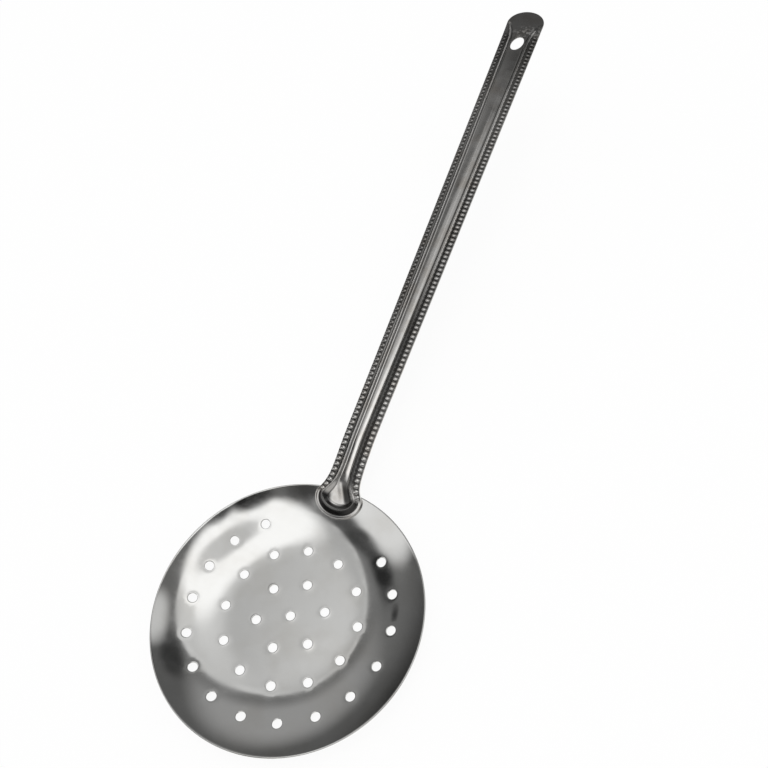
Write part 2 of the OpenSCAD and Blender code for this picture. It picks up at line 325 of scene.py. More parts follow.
dish_steel = steel("dish_steel", (0.92, 0.918, 0.9), (0.86, 0.85, 0.82), 0.07, 0.13, 0.0006, 0.004, 22.0)
handle_steel = steel("handle_steel", (0.9, 0.885, 0.86), (0.78, 0.74, 0.69), 0.09, 0.18, 0.0008, 0.002, 9.0,
                     handle_marks_and_painted_light)
weld_steel = steel("weld_steel", (0.6, 0.59, 0.57), (0.4, 0.38, 0.36), 0.3, 0.45, 0.002, 0.01, 2.0)
print("steels", dish_steel.name, handle_steel.name, weld_steel.name)

# %% [markdown]
# A sheet of metal is easiest to make as one face first and to thicken afterwards, as a press does. These
# helpers turn lists into a mesh, read the result of a modifier back as a plain mesh, and give an edge its
# rounding: a cut edge that has been polished is not sharp, and its highlight is what the eye sees.

# %% Helpers for meshes
def new_piece(name, points, edges, faces):
    mesh = bpy.data.meshes.new(name)
    mesh.from_pydata([tuple(p) for p in points], edges, faces)
    mesh.update()
    made = bpy.data.objects.new(name, mesh)
    bpy.context.scene.collection.objects.link(made)
    return made


def edge_drop(gap, radius):
    """How far a rounded edge has dropped below the sheet's face, at a distance from the cut."""
    inside = np.clip(radius - np.asarray(gap, float), 0.0, radius)
    return radius - np.sqrt(radius * radius - inside * inside)


def tidy_mesh(mesh, closeness=0.004):
    """Welds doubled points and turns all faces outwards."""
    bm = bmesh.new()
    bm.from_mesh(mesh)
    bmesh.ops.remove_doubles(bm, verts=bm.verts, dist=closeness * MM)
    bmesh.ops.recalc_face_normals(bm, faces=bm.faces)
    open_edges = sum(1 for e in bm.edges if len(e.link_faces) != 2)
    bm.to_mesh(mesh)
    bm.free()
    for polygon in mesh.polygons:
        polygon.use_smooth = True
    return open_edges


def applied(piece):
    """The piece's evaluated shape as a plain mesh. Its modifiers are gone afterwards."""
    graph = bpy.context.evaluated_depsgraph_get()
    mesh = bpy.data.meshes.new_from_object(piece.evaluated_get(graph), depsgraph=graph)
    piece.modifiers.clear()
    piece.data = mesh
    return mesh


def new_tree(name, sizes):
    """A geometry tree with named inputs. Each size is (name, socket type, value)."""
    tree = bpy.data.node_groups.new(name, "GeometryNodeTree")
    tree.interface.new_socket("Geometry", in_out="INPUT", socket_type="NodeSocketGeometry")
    for label, kind, value in sizes:
        socket = tree.interface.new_socket(label, in_out="INPUT", socket_type=kind)
        if value is not None:
            socket.default_value = value
    tree.interface.new_socket("Geometry", in_out="OUTPUT", socket_type="NodeSocketGeometry")
    return tree, add(tree, "NodeGroupInput").outputs


def end_tree(tree, shape, material):
    real = add(tree, "GeometryNodeRealizeInstances", shape)
    painted = add(tree, "GeometryNodeSetMaterial", real.outputs[0])
    feed(tree, painted.inputs["Material"], material)
    add(tree, "NodeGroupOutput", painted.outputs[0])


def run_tree(piece, tree, values):
    """Adds the tree to a piece with its inputs set by identifier, and applies it."""
    modifier = piece.modifiers.new(tree.name, "NODES")
    modifier.node_group = tree
    for item in tree.interface.items_tree:
        if item.item_type == "SOCKET" and item.in_out == "INPUT" and item.name in values:
            modifier[item.identifier] = values[item.name]
    return applied(piece)


FLOAT, WHOLE, STUFF = "NodeSocketFloat", "NodeSocketInt", "NodeSocketMaterial"
print("mesh helpers ready")

# %% [markdown]
# The dish has 34 drain holes: one in the middle and three rings with 6, 12 and 18 places, of which the
# outer ring leaves three free under the handle's foot. Cutting them from a finished mesh with a boolean
# would leave ragged shading on a mirror. So the punch's outlines are laid out first, with close rings of
# points around each hole, and the sheet is meshed around them. Geometry Nodes lay out the pattern.

# %% Punch pattern
rim_r = (dish_high.x - dish_low.x) / 2 / MM
hole_r = 2.0
hole_sides = 32
ring_pitch = 15.2
ring_turn = [-4.4, 10.2, 0.0]
first_ring = 6
foot_line_y = 38.0
edge_round = 0.3
hole_gaps = [0.0, 0.04, 0.1, 0.18, 0.3, 0.55, 0.95]


def punch_tree():
    sizes = [("Ring pitch", FLOAT, 0.01), ("First ring", WHOLE, 6), ("Hole radius", FLOAT, 0.002),
             ("Sides", WHOLE, 32), ("Foot line", FLOAT, 1.0), ("Material", STUFF, None)]
    tree, given = new_tree("punch_pattern", sizes)
    centres = add(tree, "GeometryNodeJoinGeometry")
    middle = add(tree, "GeometryNodeMeshLine", 1)
    tree.links.new(middle.outputs[0], centres.inputs[0])
    for ring, turn in enumerate(ring_turn, 1):
        circle = add(tree, "GeometryNodeMeshCircle", calc(tree, "MULTIPLY", given["First ring"], ring),
                     calc(tree, "MULTIPLY", given["Ring pitch"], ring))
        turned = add(tree, "GeometryNodeTransform", circle.outputs[0])
        turned.inputs["Rotation"].default_value = (0.0, 0.0, math.radians(90 + turn))
        tree.links.new(turned.outputs[0], centres.inputs[0])
    place = add(tree, "ShaderNodeSeparateXYZ", add(tree, "GeometryNodeInputPosition").outputs[0])
    kept = add(tree, "GeometryNodeDeleteGeometry", centres.outputs[0],
               calc(tree, "GREATER_THAN", place.outputs["Y"], given["Foot line"]))
    loops = add(tree, "GeometryNodeJoinGeometry")
    for gap in hole_gaps:
        loop = add(tree, "GeometryNodeMeshCircle", given["Sides"],
                   calc(tree, "ADD", given["Hole radius"], gap * MM))
        tree.links.new(loop.outputs[0], loops.inputs[0])
    punched = add(tree, "GeometryNodeInstanceOnPoints", kept.outputs[0])
    tree.links.new(loops.outputs[0], punched.inputs["Instance"])
    end_tree(tree, punched.outputs[0], given["Material"])
    return tree


pattern = new_piece("punch_pattern", [(0, 0, 0)], [], [])
outlines = run_tree(pattern, punch_tree(), {
    "Ring pitch": ring_pitch * MM, "First ring": first_ring, "Hole radius": hole_r * MM,
    "Sides": hole_sides, "Foot line": foot_line_y * MM, "Material": dish_steel})
loop_points = np.array([v.co[:2] for v in outlines.vertices]) / MM
per_hole = hole_sides * len(hole_gaps)
hole_centres = loop_points.reshape(-1, per_hole, 2).mean(axis=1)
bpy.data.objects.remove(pattern)
print("holes", len(hole_centres), "outline points", len(loop_points))

# %% [markdown]
# Now the blank: a flat round sheet with the holes already in it. The points are the punch's outlines, a
# few close rings along the rim, and an even spread of rings between them. A Delaunay triangulation joins
# them into well-shaped triangles and keeps the outlines' own edges; the triangles inside the holes are
# dropped. Each point remembers how far it is from the nearest hole and from the rim, which the press
# needs for rounding.

# %% Blank
flat_r = 26.5
wall_r = 67.0
dish_t = 0.9
rim_round = dish_t / 2
rim_angle = math.asin((rim_r - rim_round - flat_r) / wall_r)
cut_r = rim_r - rim_round * (1 - math.cos(rim_angle))
rim_gaps = [0.0, 0.02, 0.075, 0.16, 0.27, 0.395, 0.9]
spread = 1.5
rim_points = 240


def ring_of(radius, count, shift=0.0):
    turn = (np.arange(count) + shift) / count * 2 * math.pi
    return np.stack([np.cos(turn), np.sin(turn)], 1) * radius


def far_from_holes(points, distance):
    away = np.linalg.norm(points[:, None] - hole_centres[None], axis=2).min(axis=1)
    return points[away > distance]


def blank_points():
    """All points of the blank, and the edges between neighbours on one outline or rim ring."""
    rims = [ring_of(cut_r - gap, rim_points) for gap in rim_gaps]
    kept = [tuple(e.vertices) for e in outlines.edges]
    for ring in range(len(rims)):
        start = len(loop_points) + ring * rim_points
        kept += [(start + i, start + (i + 1) % rim_points) for i in range(rim_points)]
    fill = []
    count = int((cut_r - rim_gaps[-1] - spread * 0.6) / spread)
    for i in range(1, count + 1):
        radius = (cut_r - rim_gaps[-1] - spread * 0.8) * i / count
        fill.append(ring_of(radius, max(8, int(2 * math.pi * radius / spread)), 0.5 * (i % 2)))
    clear = far_from_holes(np.concatenate(fill), hole_r + hole_gaps[-1] + spread * 0.45)
    return np.concatenate([loop_points, *rims, clear]), kept


def blank_piece():
    points, kept_edges = blank_points()
    result = geometry.delaunay_2d_cdt([Vector(p) for p in points], kept_edges, [], 0, 1e-6)
    flat, triangles = np.array([tuple(v) for v in result[0]]), result[2]
    middles = flat[np.array(triangles)].mean(axis=1)
    gaps = np.linalg.norm(middles[:, None] - hole_centres[None], axis=2).min(axis=1) - hole_r
    kept = [t for t, gap in zip(triangles, gaps) if gap > -hole_gaps[1] * 0.5]
    made = new_piece("dish_blank", [(x * MM, y * MM, 0.0) for x, y in flat], [], kept)
    hole_gap = np.linalg.norm(flat[:, None] - hole_centres[None], axis=2).min(axis=1) - hole_r
    rim_gap = (cut_r - np.linalg.norm(flat, axis=1)) / math.cos(rim_angle)
    for label, values in (("hole_gap", hole_gap), ("rim_gap", rim_gap)):
        gap = made.data.attributes.new(label, "FLOAT", "POINT")
        gap.data.foreach_set("value", (np.clip(values, 0.0, None) * MM).astype(np.float32))
    return made


blank = blank_piece()
print("blank", len(blank.data.vertices), "points", len(blank.data.polygons), "triangles")

# %% [markdown]
# The press turns the flat blank into the dish by one rule: the middle stays flat, and past it the sheet
# rises along an arc. That rule is a Geometry Nodes tree with the arc's sizes as inputs. The tree also adds
# the slight unevenness of hand-held polishing, then gives the sheet its thickness: one copy of the face is
# moved up and one down, both drop away near a cut edge, and a narrow wall joins them there.

# %% Press
calm_from_y, calm_to_y = 30.0, 42.0
crease_soft = 6.0


def pressed_height(tree, given):
    place = add(tree, "GeometryNodeInputPosition").outputs[0]
    radius = add(tree, "ShaderNodeVectorMath", place, operation="LENGTH").outputs["Value"]
    past = calc(tree, "SMOOTH_MAX", calc(tree, "SUBTRACT", radius, given["Flat radius"]), 0.0, crease_soft * MM)
    squares = calc(tree, "SUBTRACT", calc(tree, "POWER", given["Wall radius"], 2.0),
                   calc(tree, "POWER", past, 2.0))
    arc = calc(tree, "SUBTRACT", given["Wall radius"], calc(tree, "SQRT", squares))
    noise = add(tree, "ShaderNodeTexNoise")
    feed(tree, noise.inputs["Vector"], place)
    feed(tree, noise.inputs["Scale"], calc(tree, "DIVIDE", 1.0, given["Wave length"]))
    noise.inputs["Detail"].default_value = 0.5
    wave = calc(tree, "MULTIPLY", calc(tree, "SUBTRACT", noise.outputs["Fac"], 0.5), given["Wave height"])
    bulge = calc(tree, "SMOOTH_MAX", wave, 0.0, calc(tree, "MULTIPLY", given["Wave height"], 0.1))
    y = add(tree, "ShaderNodeSeparateXYZ", place).outputs["Y"]
    calm = remap(tree, y, calm_from_y * MM, calm_to_y * MM, 1.0, 0.0)
    gap = add(tree, "GeometryNodeInputNamedAttribute", "hole_gap", data_type="FLOAT").outputs[0]
    lift = calc(tree, "ADD", bulge, remap(tree, gap, 0.0, 1.2 * MM, 0.05 * MM, 0.0))
    half = calc(tree, "MULTIPLY", given["Thickness"], 0.5)
    return calc(tree, "ADD", calc(tree, "ADD", arc, half), calc(tree, "MULTIPLY", lift, calm))


def moved(tree, shape, along, distance):
    step = add(tree, "ShaderNodeVectorMath", along, operation="SCALE")
    feed(tree, step.inputs["Scale"], distance)
    made = add(tree, "GeometryNodeSetPosition", shape)
    tree.links.new(step.outputs[0], made.inputs["Offset"])
    return made.outputs[0], step.outputs[0]


def rounded_drop(tree, gap, radius):
    inside = calc(tree, "MAXIMUM", calc(tree, "SUBTRACT", radius, gap), 0.0)
    left = calc(tree, "SUBTRACT", calc(tree, "POWER", radius, 2.0), calc(tree, "POWER", inside, 2.0))
    return calc(tree, "SUBTRACT", radius, calc(tree, "SQRT", calc(tree, "MAXIMUM", left, 0.0)))


def press_tree():
    sizes = [("Flat radius", FLOAT, 0.02), ("Wall radius", FLOAT, 0.06), ("Thickness", FLOAT, 0.001),
             ("Hole round", FLOAT, 0.0003), ("Rim round", FLOAT, 0.0004), ("Wave height", FLOAT, 0.0),
             ("Wave length", FLOAT, 0.03), ("Material", STUFF, None)]
    tree, given = new_tree("press_dish", sizes)
    lift = add(tree, "ShaderNodeCombineXYZ", 0.0, 0.0, pressed_height(tree, given))
    middle = add(tree, "GeometryNodeSetPosition", given["Geometry"])
    tree.links.new(lift.outputs[0], middle.inputs["Offset"])
    store = add(tree, "GeometryNodeStoreNamedAttribute", middle.outputs[0], data_type="FLOAT_VECTOR")
    store.inputs["Name"].default_value = "sheet_normal"
    tree.links.new(add(tree, "GeometryNodeInputNormal").outputs[0], store.inputs["Value"])
    normal = add(tree, "GeometryNodeInputNamedAttribute", "sheet_normal", data_type="FLOAT_VECTOR").outputs[0]
    drops = [rounded_drop(tree, add(tree, "GeometryNodeInputNamedAttribute", label, data_type="FLOAT").outputs[0],
                          given[radius]) for label, radius in (("hole_gap", "Hole round"), ("rim_gap", "Rim round"))]
    half = calc(tree, "SUBTRACT", calc(tree, "MULTIPLY", given["Thickness"], 0.5),
                calc(tree, "MAXIMUM", *drops))
    top, _ = moved(tree, store.outputs[0], normal, half)
    bottom, _ = moved(tree, store.outputs[0], normal, calc(tree, "MULTIPLY", half, -1.0))
    cut = add(tree, "FunctionNodeCompare", data_type="INT", operation="EQUAL")
    tree.links.new(add(tree, "GeometryNodeInputMeshEdgeNeighbors").outputs[0], cut.inputs["A"])
    wall = add(tree, "GeometryNodeExtrudeMesh", top, mode="EDGES")
    tree.links.new(cut.outputs[0], wall.inputs["Selection"])
    down = add(tree, "ShaderNodeVectorMath", normal, operation="SCALE")
    feed(tree, down.inputs["Scale"], calc(tree, "MULTIPLY", half, -2.0))
    tree.links.new(down.outputs[0], wall.inputs["Offset"])
    wall.inputs["Offset Scale"].default_value = 1.0
    both = add(tree, "GeometryNodeJoinGeometry", wall.outputs[0])
    tree.links.new(add(tree, "GeometryNodeFlipFaces", bottom).outputs[0], both.inputs[0])
    cut.inputs["B"].default_value = 1
    end_tree(tree, both.outputs[0], given["Material"])
    return tree


def make_dish():
    pressed = run_tree(blank, press_tree(), {
        "Flat radius": flat_r * MM, "Wall radius": wall_r * MM, "Thickness": dish_t * MM,
        "Hole round": edge_round * MM, "Rim round": rim_round * MM, "Wave height": 0.2 * MM,
        "Wave length": 42 * MM, "Material": dish_steel})
    open_edges = tidy_mesh(pressed)
    for name in ("hole_gap", "rim_gap", "sheet_normal"):
        pressed.attributes.remove(pressed.attributes[name])
    blank.name = "skimmer_dish"
    print("dish", len(pressed.polygons), "faces", open_edges, "open edges")
    return blank


skimmer_dish = make_dish()

# %% [markdown]
# The handle is one strip of steel, stamped between two dies. Its section is a family of creases that run
# side by side for the whole length: a flange that carries the beads, a narrow groove, a high crest, and a
# shallow panel in the middle. At the foot they swing out into a round pad with a raised ring, and at the
# far end they run out to the edges. So the handle is described by where each crease is at each place.

# %% Creases of the handle
handle_t = 1.1
seat_gap = 0.05
handle_reach = handle_high.y / MM - 0.9
end_round = 9.0
foot_tip_y = rim_r - 13.2
foot_round = 8.6
foot_y = foot_tip_y + foot_round
neck_y = rim_r - dish_t
neck_l, rim_bend_l, grip_bend_l = 27.0, 4.0, 8.0
rim_bend_y = neck_y + rim_bend_l
straight_y = neck_y + neck_l
grip_bend_y = straight_y - grip_bend_l
end_y = handle_reach - end_round
runout_l = 15.0
runout_y = end_y - runout_l
neck_w, end_w, foot_w, foot_flare = 14.6, 21.2, 23.2, 4.2
neck_slope, grip_slope = math.tan(math.radians(16.7)), math.tan(math.radians(9.33))

# Insets of the creases from the edge on the strip and on the foot, and their heights over the flange
strip_in = np.array([0.0, 3.3, 3.7, 4.7, 5.2, 6.1])
ring_in = np.array([0.0, 1.4, 1.86, 3.01, 3.93, 6.0])
tip_in = np.array([0.0, 1.4, 1.87, 3.04, 3.98, 6.1])
strip_h = np.array([-0.4, 0.0, -0.3, 1.3, 1.22, 0.42])
ring_h = np.array([0.0, 0.0, 0.1, 1.17, 1.3, 0.0])
panel_mid_h = 0.6
end_in_share = 0.25
level_l = 7.0


def in_z(r):
    """Height of the dish's inner face at a radius."""
    past = np.clip(np.asarray(r, float) - flat_r, 0.0, wall_r - dish_t)
    return wall_r + dish_t / 2 - np.sqrt((wall_r - dish_t / 2) ** 2 - past ** 2)


rim_slope = (neck_y - flat_r) / math.sqrt((wall_r - dish_t / 2) ** 2 - (neck_y - flat_r) ** 2)


def bend_z(y, start, length, first, last):
    """Rise over a bend that starts with one slope and ends with another."""
    u = np.clip(y - start, 0.0, length)
    return u * (first + (last - first) * u / (2 * length))


def side_z(y):
    """Side profile: on the dish, the bend at the rim, the neck, the second bend and the straight rise."""
    return (in_z(np.minimum(y, neck_y)) + bend_z(y, neck_y, rim_bend_l, rim_slope, neck_slope)
            + neck_slope * np.clip(y - rim_bend_y, 0.0, grip_bend_y - rim_bend_y)
            + bend_z(y, grip_bend_y, grip_bend_l, neck_slope, grip_slope)
            + grip_slope * np.clip(y - straight_y, 0.0, None))


def base_z(x, y):
    """Top face of the flange. Around the rim the foot's sides still follow the round dish."""
    fade = np.clip(1 - np.maximum(0.0, y - neck_y) / level_l, 0.0, 1.0)
    across = in_z(np.minimum(np.hypot(x, y), neck_y + level_l)) - in_z(np.minimum(y, neck_y + level_l))
    return side_z(y) + across * fade + seat_gap + handle_t


print("handle from y", round(foot_tip_y, 1), "to", round(handle_reach, 1))

# %% [markdown]
# One row of the mesh is one section of the strip. Between the foot's tip and its widest place the rows
# fan out like the ribs of a shell, then they run straight across, and at the end they fan again. A
# folded line through the creases would look like bent paper, so each row's heights are averaged over a
# short width. That turns every fold into a small arc, as a stamping die does.

# %% Rows of the handle
column_steps = [7, 3, 5, 3, 5, 9]
fold_r = 0.42
fan_steps = 26
rounding = 0.38


def half_widths(y):
    """Distance of each crease from the middle line at y, and each crease's height."""
    strip = (neck_w + (end_w - neck_w) * (y - neck_y) / (end_y - neck_y)) / 2
    start = (neck_w + (end_w - neck_w) * (foot_y - neck_y) / (end_y - neck_y)) / 2 - strip_in
    run = min(1.0, max(0.0, (y - runout_y) / runout_l)) ** 2
    flare = 1 / (1 + ((y - foot_y) / foot_flare) ** 2)
    share = min(1.0, max(0.0, (y - foot_y) / (neck_y + level_l - foot_y)))
    wide = strip - strip_in * (1 - (1 - end_in_share) * run) + (foot_w / 2 - ring_in - start) * flare
    high = (1 - run) * (ring_h + (strip_h - ring_h) * share)
    return wide, high, (1 - run) * panel_mid_h * share


def folded(distance, height, mid_height):
    """Heights over a half row, finely sampled, with the panel as a shallow curve: (distances, heights)."""
    along = np.linspace(0.0, 1.0, 9)[1:]
    panel_d = distance[-2] + (distance[-1] - distance[-2]) * along
    panel_h = mid_height + (height[-1] - mid_height) * (1 - along) ** 2
    return np.concatenate([distance[:-1], panel_d]), np.concatenate([height, panel_h])


def softened(distance, height, at):
    """Heights at the places asked for, averaged over the folds' width and mirrored at the middle."""
    full = distance[-1]
    both_d = np.concatenate([distance, 2 * full - distance[-2::-1]])
    both_h = np.concatenate([height, height[-2::-1]])
    offsets = np.linspace(-fold_r, fold_r, 13)
    weights = 1 - np.abs(offsets) / fold_r * 0.999
    total = sum(w * np.interp(np.abs(at + o), both_d, both_h) for o, w in zip(offsets, weights))
    return total / weights.sum()


def half_row(points, heights, mid_height):
    """Plan points and heights from the edge to the middle. Points are the creases and the middle.

    The edge is drawn in by its rounding, which the thickness adds back as an arc."""
    inwards = points[1] - points[0]
    points[0] += inwards / np.linalg.norm(inwards) * rounding
    placed = []
    for k, steps in enumerate(column_steps):
        share = np.linspace(0.0, 1.0, steps + 1)[:-1, None]
        placed.append(points[k] + (points[k + 1] - points[k]) * share)
    plan = np.concatenate([*placed, points[-1:]])
    reach = np.concatenate([[0.0], np.cumsum(np.linalg.norm(np.diff(points, axis=0), axis=1))])
    at = np.concatenate([[0.0], np.cumsum(np.linalg.norm(np.diff(plan, axis=0), axis=1))])
    distance, height = folded(reach, heights, mid_height)
    return plan, softened(distance, height, at)


def foot_row(angle):
    turn = math.radians(angle)
    points = [((foot_w / 2 - ring_in[k]) * math.cos(turn),
               foot_y - (foot_round - tip_in[k]) * math.sin(turn)) for k in range(6)]
    return half_row(np.array([*points, (0.0, foot_y)]), ring_h, 0.0)


def strip_row(y):
    wide, high, middle = half_widths(y)
    return half_row(np.array([*[(w, y) for w in wide], (0.0, y)]), high, middle)


def end_row(angle):
    turn = math.radians(angle)
    wide, high, middle = half_widths(end_y)
    insets = strip_in * end_in_share
    points = [(wide[k] * math.cos(turn), end_y + (end_round - insets[k]) * math.sin(turn)) for k in range(6)]
    return half_row(np.array([*points, (0.0, end_y)]), high, middle)


hang_y = handle_reach - 24.4
hang_step = 0.8
hang_rows = [hang_y + hang_step * i for i in range(-14, 60) if hang_y + hang_step * i < end_y - 0.3]
neck_rows = list(np.linspace(foot_y, straight_y, 48))
long_rows = list(np.linspace(straight_y, hang_rows[0], 190))[1:-1]
row_places = [*neck_rows, *long_rows, *hang_rows, end_y]
rows = [*[foot_row(a) for a in np.linspace(90, 0, fan_steps + 1)[:-1]],
        *[strip_row(y) for y in row_places],
        *[end_row(a) for a in np.linspace(0, 90, fan_steps + 1)[1:]]]
print("rows", len(rows), "columns", 2 * len(rows[0][1]) - 1)

# %% [markdown]
# The hanging hole is oval and nearly as wide as the panel. To keep the mesh clean around it, a block of
# cells is taken out of the grid, the block's border is pushed onto the oval, and the cells around it are
# eased after it. Then the sheet gets its thickness, with a rounded edge all round the outline and hole.

# %% Sheet of the handle
hang_half_w, hang_half_l = 3.35, 5.0
hang_lean = math.radians(12.0)
hang_cells, hang_reach = 6, 10


def whole_grid():
    """Plan places and relief heights of the whole strip, as arrays of rows and columns."""
    plan = np.array([np.concatenate([p, p[-2::-1] * (-1, 1)]) for p, h in rows])
    relief = np.array([np.concatenate([h, h[-2::-1]]) for p, h in rows])
    return plan, relief


def relief_at(x, y):
    """Height over the flange at a place on the straight part."""
    wide, high, middle = half_widths(y)
    distance, height = folded(np.append(wide[0] - wide, wide[0]), high, middle)
    return softened(distance, height, wide[0] - abs(x))


def between(grid, i, j):
    """The grid's place at a row and column that need not be whole."""
    a, b = math.floor(i), math.floor(j)
    down, over = i - a, j - b
    near = grid[a, b] * (1 - over) + grid[a, b + 1] * over
    return near * (1 - down) + (grid[a + 1, b] * (1 - over) + grid[a + 1, b + 1] * over) * down


def ease_round_hole(plan, relief):
    """Pushes the grid off the hanging hole. Returns which grid points lie inside it."""
    even = plan.copy()
    middle_row = fan_steps + row_places.index(hang_y)
    middle_column = plan.shape[1] // 2
    inside = np.zeros(plan.shape[:2], bool)
    lean = np.array([[math.cos(hang_lean), math.sin(hang_lean)], [-math.sin(hang_lean), math.cos(hang_lean)]])
    for i in range(-hang_reach, hang_reach + 1):
        for j in range(-hang_reach, hang_reach + 1):
            cell = middle_row + i, middle_column + j
            ring = max(abs(i), abs(j))
            inside[cell] = ring < hang_cells
            angle = math.atan2(i, -j)
            oval = lean @ np.array([(hang_half_w + rounding) * math.cos(angle),
                                    (hang_half_l + rounding) * math.sin(angle)]) + (0.0, hang_y)
            out = hang_reach / max(ring, 1)
            share = max(0.0, (ring - hang_cells) / (hang_reach - hang_cells))
            plan[cell] = oval + (between(even, middle_row + i * out, middle_column + j * out) - oval) * share
            relief[cell] = relief_at(*plan[cell])
    return inside


def top_sheet():
    plan, relief = whole_grid()
    inside = ease_round_hole(plan, relief)
    height = base_z(plan[..., 0], plan[..., 1]) + relief
    points = np.concatenate([plan, height[..., None]], axis=2).reshape(-1, 3) * MM
    n, m = relief.shape
    faces = [(i * m + j, i * m + j + 1, (i + 1) * m + j + 1, (i + 1) * m + j)
             for i in range(n - 1) for j in range(m - 1)
             if not (inside[i, j] or inside[i, j + 1] or inside[i + 1, j] or inside[i + 1, j + 1])]
    return points, faces


points, faces = top_sheet()
print("top face of the handle", len(points), "points", len(faces), "cells")


# %% Thickness of the handle
def border_outwards(vert):
    """Direction out of the sheet at a border point, square to the border and to the sheet."""
    sides = [e.other_vert(vert).co - vert.co for e in vert.link_edges if e.is_boundary]
    run = (sides[0].normalized() - sides[1].normalized()).normalized()
    out = run.cross(vert.normal).normalized()
    inwards = sum((f.calc_center_median() - vert.co for f in vert.link_faces), Vector())
    return -out if out.dot(inwards) > 0 else out


def thicken(bm, thickness, radius, arc_steps=5):
    """Makes a closed sheet from its top face, with arcs around all its borders."""
    top = list(bm.verts)
    normals = [v.normal.copy() for v in top]
    border = {v: border_outwards(v) for v in top if v.is_boundary}
    border_edges = [tuple(e.verts) for e in bm.edges if e.is_boundary]
    below = {v: bm.verts.new(v.co - n * thickness) for v, n in zip(top, normals)}
    normal_of = dict(zip(top, normals))
    chains = {}
    for vert, out in border.items():
        chain = [vert]
        for i in range(1, 2 * arc_steps):
            turn = math.pi * i / (2 * arc_steps)
            drop = thickness / 2 - math.cos(turn) * thickness / 2
            reach = radius * math.sin(turn) ** 0.8
            chain.append(bm.verts.new(vert.co + out * reach - normal_of[vert] * drop))
        chains[vert] = [*chain, below[vert]]
    for face in list(bm.faces):
        bm.faces.new([below[v] for v in reversed(face.verts)])
    for first, second in border_edges:
        for i in range(2 * arc_steps):
            a, b = chains[first], chains[second]
            bm.faces.new((a[i], b[i], b[i + 1], a[i + 1]))


def make_handle_sheet():
    piece = new_piece("skimmer_handle", points, [], faces)
    bm = bmesh.new()
    bm.from_mesh(piece.data)
    bmesh.ops.remove_doubles(bm, verts=bm.verts, dist=0.002 * MM)
    loose = [v for v in bm.verts if not v.link_faces]
    bmesh.ops.delete(bm, geom=loose, context="VERTS")
    bmesh.ops.recalc_face_normals(bm, faces=bm.faces)
    if sum(f.normal.z for f in bm.faces) < 0:
        bmesh.ops.reverse_faces(bm, faces=bm.faces)
    bm.normal_update()
    thicken(bm, handle_t * MM, rounding * MM)
    bm.to_mesh(piece.data)
    bm.free()
    open_edges = tidy_mesh(piece.data, 0.001)
    print("handle sheet", len(piece.data.polygons), "faces", open_edges, "open edges")
    return piece


skimmer_handle = make_handle_sheet()

# %% [markdown]
# A row of small domed beads runs along each flange. They are all alike and they follow the edge at an
# even pitch, so one bead is modelled and Geometry Nodes set it along a guide line. The guide carries the
# flange's direction at each point, and each bead stands square to it.

# %% Beads
bead_r = 1.2
bead_across = 1.5
bead_h = 0.7
bead_sink = 0.25
bead_pitch = 2.6
bead_in = 1.75
bead_start_y = foot_y + 2.4
bead_end_y = end_y - runout_l * 0.65


def bead_shape(segments=16, levels=5):
    made, cells = [(0.0, 0.0, bead_h * MM)], []
    for level in range(1, levels + 2):
        turn = math.pi / 2 * min(level, levels) / levels
        z = bead_h * math.cos(turn) ** 0.8 if level <= levels else -bead_sink
        for i in range(segments):
            a = 2 * math.pi * i / segments
            made.append((bead_across * math.sin(turn) * math.cos(a) * MM,
                         bead_r * math.sin(turn) * math.sin(a) * MM, z * MM))
    ring = lambda level, i: 1 + (level - 1) * segments + i % segments
    cells += [(0, ring(1, i), ring(1, i + 1)) for i in range(segments)]
    cells += [(ring(v, i), ring(v + 1, i), ring(v + 1, i + 1), ring(v, i + 1))
              for v in range(1, levels + 1) for i in range(segments)]
    cells.append(tuple(ring(levels + 1, i) for i in reversed(range(segments))))
    return new_piece("bead", made, [], cells)


def bead_guide(side):
    places = np.arange(bead_start_y, bead_end_y, 0.5)
    x = np.array([half_widths(y)[0][0] for y in places]) - bead_in
    drop = -strip_h[0] / strip_in[1]
    line = np.stack([side * x, places, base_z(x, places) - drop * (strip_in[1] - bead_in)], 1) * MM
    guide = new_piece("bead_guide", line, [(i, i + 1) for i in range(len(line) - 1)], [])
    slope = np.gradient(line[:, 2], line[:, 1])
    tilt = guide.data.attributes.new("flange_normal", "FLOAT_VECTOR", "POINT")
    stood = np.stack([np.full_like(slope, side * drop), -slope, np.ones_like(slope)], 1)
    tilt.data.foreach_set("vector", stood.astype(np.float32).ravel())
    return guide


def bead_tree(bead):
    tree, given = new_tree("bead_row", [("Pitch", FLOAT, 0.003), ("Material", STUFF, None)])
    curve = add(tree, "GeometryNodeMeshToCurve", given["Geometry"])
    spaced = add(tree, "GeometryNodeCurveToPoints", curve.outputs[0], mode="LENGTH")
    feed(tree, spaced.inputs["Length"], given["Pitch"])
    normal = add(tree, "GeometryNodeInputNamedAttribute", "flange_normal", data_type="FLOAT_VECTOR").outputs[0]
    stood = add(tree, "FunctionNodeAlignRotationToVector", axis="Z")
    feed(tree, stood.inputs["Vector"], normal)
    turned = add(tree, "FunctionNodeAlignRotationToVector", stood.outputs[0], axis="Y", pivot_axis="Z")
    feed(tree, turned.inputs["Vector"], spaced.outputs["Tangent"])
    shape = add(tree, "GeometryNodeObjectInfo", bead)
    row = add(tree, "GeometryNodeInstanceOnPoints", spaced.outputs[0])
    feed(tree, row.inputs["Instance"], shape.outputs["Geometry"])
    feed(tree, row.inputs["Rotation"], turned.outputs[0])
    end_tree(tree, row.outputs[0], given["Material"])
    return tree


def make_bead_rows():
    bead = bead_shape()
    tree = bead_tree(bead)
    meshes = []
    for side in (-1, 1):
        guide = bead_guide(side)
        meshes.append(run_tree(guide, tree, {"Pitch": bead_pitch * MM, "Material": handle_steel}))
        bpy.data.objects.remove(guide)
    bpy.data.objects.remove(bead)
    return meshes


bead_rows = make_bead_rows()
print("bead faces", sum(len(m.polygons) for m in bead_rows))

